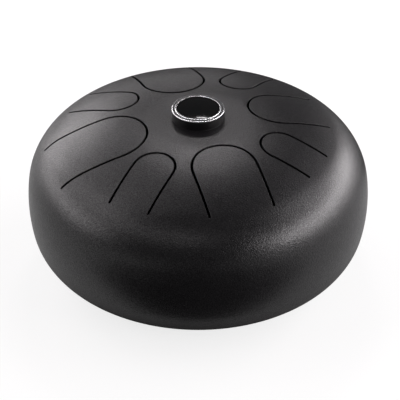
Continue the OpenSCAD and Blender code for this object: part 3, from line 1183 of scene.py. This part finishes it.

# %% [markdown]
# The floor.
# The floor is plain white paper, and the camera sees it glow, with the drum's shadow on it. The drum sees
# much less of it: at full strength its reflection would lie as a grey veil over a coat that is nearly
# black. The glow fades out under the drum, which paints shade there, or it would shine up through the
# sound hole and out of the slits; a wider fade round the drum paints shade into the floor's reflection on
# the drum's lower wall. The glow evens out to white far away, so that no horizon shows in a low view.
# From below the floor is clear, so that the base can be looked at through it.

# %% How much of the backdrop a ray sees
def backdrop_share(tree, gloss_share, seen_share=1.0):
    """How much of the backdrop a ray sees: its share by sight, its share as gloss, and 0 if it lights."""
    path = add(tree, "ShaderNodeLightPath").outputs
    sight = {0: path["Is Camera Ray"], 1: path["Is Transmission Ray"]}
    seen = add(tree, MATHS, sight, operation="MAXIMUM")
    by_sight = add(tree, MATHS, {0: seen, 1: seen_share}, operation="MULTIPLY")
    as_gloss = add(tree, MATHS, {0: path["Is Glossy Ray"], 1: gloss_share}, operation="MULTIPLY")
    return add(tree, MATHS, {0: by_sight, 1: as_gloss}, operation="MAXIMUM")


# %% White paper
FLOOR_GLOW = 0.78
FLOOR_SHADE = "#8c8c8c"
FLOOR_DULL = "#7c7c7c"
FLOOR_GLOSS = 0.54
GLOW_REACH = (0.5, 2.5)
# Painted shade: between these distances from the drum's axis the floor's glow fades out, to the camera under
# the drum and to reflections round it.
SEEN_PAINTED_SHADE_REACH = (60 * MM, 105 * MM)
GLOSS_PAINTED_SHADE_REACH = (125 * MM, 190 * MM)


def outwards(tree, reach, first, last):
    """Changes softly from first to last between two distances from the drum's axis."""
    place = add(tree, "ShaderNodeTexCoord").outputs["Object"]
    away = add(tree, "ShaderNodeVectorMath", {0: place}, operation="LENGTH").outputs["Value"]
    given = {"Value": away, "From Min": reach[0], "From Max": reach[1], "To Min": first, "To Max": last}
    return add(tree, "ShaderNodeMapRange", given, interpolation_type="SMOOTHSTEP")


def floor_finish():
    """White paper: it glows to the camera and keeps the drum's shadow, and is a dull grey to the drum. Its
    glow fades out under the drum to the camera and round it to reflections, which paints shade there.
    """
    material, tree, shader = finish("white_paper")
    tree.nodes.remove(shader)
    shade = add(tree, "ShaderNodeBsdfDiffuse", {"Color": linear(FLOOR_SHADE)})
    strength = outwards(tree, GLOW_REACH, FLOOR_GLOW, 1)
    glow = add(tree, "ShaderNodeEmission", {"Color": linear("#ffffff"), "Strength": strength})
    bright = add(tree, "ShaderNodeAddShader", {0: shade, 1: glow})
    dull = add(tree, "ShaderNodeBsdfDiffuse", {"Color": linear(FLOOR_DULL)})
    # Painted shade: the glow fades out under the drum for the camera, and round it for reflections.
    seen = outwards(tree, SEEN_PAINTED_SHADE_REACH, 0, 1)
    gloss = outwards(tree, GLOSS_PAINTED_SHADE_REACH, 0, FLOOR_GLOSS)
    both = add(tree, "ShaderNodeMixShader", {0: backdrop_share(tree, gloss, seen), 1: dull, 2: bright})
    under = add(tree, "ShaderNodeNewGeometry").outputs["Backfacing"]
    clear = add(tree, "ShaderNodeBsdfTransparent")
    sided = add(tree, "ShaderNodeMixShader", {0: under, 1: both, 2: clear})
    feed(tree, tree.nodes["Material Output"], {"Surface": sided})
    return material


# %% Lay the floor
FLOOR_REACH = 4


def flat_sheet(name, low, high, z, material):
    """A flat rectangle that isn't part of the drum."""
    corners = [(*low, z), (high[0], low[1], z), (*high, z), (low[0], high[1], z)]
    mesh = bpy.data.meshes.new(name)
    mesh.from_pydata(corners, [], [(0, 1, 2, 3)])
    sheet = new_object(name, mesh)
    sheet.data.materials.append(material)
    sheet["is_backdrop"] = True
    return sheet


flat_sheet("floor", (-FLOOR_REACH, -FLOOR_REACH), (FLOOR_REACH, FLOOR_REACH), 0, floor_finish())
print("the floor reaches", FLOOR_REACH, "metres each way")

# %% [markdown]
# Two grey cards.
# The real drum's front and its far rim are dark, although it stands on white: something dark lay on
# either side of it. A grey card on the floor in front of the drum and a darker one behind it paint that
# darkness here as reflections. Only reflections see them, so they don't show in the picture and take no
# light from the floor.

# %% Grey cards on the floor
# Two opposite corners of each card, in metres, and its paper.
# Painted dark reflections: only the coat's reflections see these cards, which darken the drum's front and far
# rim there.
CARDS = {
    "front_card": {"low": (-0.24, -1.8), "high": (0.24, -0.165), "paper": "mid_grey_card", "grey": "#444444"},
    "back_card": {"low": (-0.23, 0.17), "high": (0.4, 1.8), "paper": "dark_grey_card", "grey": "#1c1c1c"},
}
CARD_UP = 1 * MM
CARD_ROUGHNESS = 0.9


def card(name, low, high, paper, grey):
    """A card on the floor that only reflections see: it paints a dark reflection on the drum."""
    matt, _, _ = finish(paper, Base_Color=linear(grey), Roughness=CARD_ROUGHNESS, Specular_IOR_Level=0.0)
    sheet = flat_sheet(name, low, high, CARD_UP, matt)
    for ray in ("camera", "diffuse", "transmission", "shadow"):
        setattr(sheet, "visible_" + ray, False)


for name, settings in CARDS.items():
    card(name, **settings)
print("cards:", ", ".join(CARDS))

# %% [markdown]
# The room.
# Beyond the floor the camera sees white as well. To the drum the room is close to black, as a dark studio
# is: a reflection shows little of it and it lights next to nothing, so the lamps alone draw the glows. A
# real room picture would put its own shapes on the coat, and there are none on the real drum.

# %% World
ROOM_GLOSS = 0.05
ROOM_SOFT = 0.025

world = bpy.data.worlds.new("studio")
bpy.context.scene.world = world
world.use_nodes = True
room = world.node_tree
given = {"Value": backdrop_share(room, ROOM_GLOSS), "To Min": ROOM_SOFT, "To Max": 1.0}
strength = add(room, "ShaderNodeMapRange", given)
feed(room, room.nodes["Background"], {"Color": linear("#ffffff"), "Strength": strength})
print("a reflection sees %.2f of the room's white" % (ROOM_SOFT + ROOM_GLOSS * (1 - ROOM_SOFT)))

# %% [markdown]
# The lamps.
# A satin coat has next to no colour of its own: it shows the lamps, each as a wide soft glow where the
# skin is tilted halfway between lamp and eye. So the lamps were placed by the glows on the real drum, and
# given their powers by how bright these are: strong boxes low down on both sides draw the walls and the
# shoulders, high ones the dome, and one weak box above the camera the faint band on the front shoulder. A
# small strip behind gives the badge its edge of light. All of them look at the drum's middle from one
# distance, and all are a very little pink, as the light on the real coat is.

# %% Soft boxes around the drum
LAMP_FAR = 1.6
LAMP_WHITE = "#fffafc"
# Each box: azimuth and rise in degrees, width and height in metres, power in watts.
SOFT_BOXES = {
    "right_front_far_box": (-36, 18, 0.4, 0.3, 4.5),
    "right_front_box": (-18, 17, 0.6, 0.4, 8),
    "right_box": (4, 17, 0.6, 0.4, 8.4),
    "right_back_box": (26, 15, 0.6, 0.4, 7.6),
    "right_back_far_box": (40, 18, 0.4, 0.3, 4.9),
    "back_right_box": (57, 13, 0.4, 0.25, 0.27),
    "back_low_box": (95, 12, 0.6, 0.2, 0.7),
    "left_back_box": (126, 22, 0.9, 0.4, 7.9),
    "left_back_low_box": (140, 8, 0.8, 0.25, 2.7),
    "left_box": (168, 18, 1.0, 0.45, 5.8),
    "left_front_box": (195, 18, 0.7, 0.4, 3),
    "left_high_box": (178, 46, 1.5, 0.5, 5.2),
    "left_top_box": (150, 62, 0.8, 0.5, 1.6),
    "right_high_box": (8, 44, 1.0, 0.4, 3.9),
    "front_high_box": (-108, 45, 1.0, 0.2, 1.4),
    "back_high_box": (90, 49, 0.35, 0.1, 3.4),
    "back_strip": (87, 45.3, 0.15, 0.02, 0.15),
}


def soft_box(name, azimuth, rise, width, height, power):
    """A soft box that looks at the drum. Azimuth 0 is on the drum's right and 90 behind it."""
    light = bpy.data.lights.new(name, "AREA")
    light.shape = "RECTANGLE"
    light.size, light.size_y = width, height
    light.energy = power
    light.color = linear(LAMP_WHITE)[:3]
    box = new_object(name, light)
    level, up = facing(QUARTER - rise)
    right, back = level * facing(QUARTER - azimuth)
    out = Vector((right, back, up))
    box.location = AIM + out * LAMP_FAR
    box.rotation_mode = "QUATERNION"
    box.rotation_quaternion = (-out).to_track_quat("-Z", "Y")


for name, settings in SOFT_BOXES.items():
    soft_box(name, *settings)
print("lit by", len(SOFT_BOXES), "soft boxes")

bpy.context.scene.view_settings.view_transform = "Standard"

# %% Sizes, and the end
low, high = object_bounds()
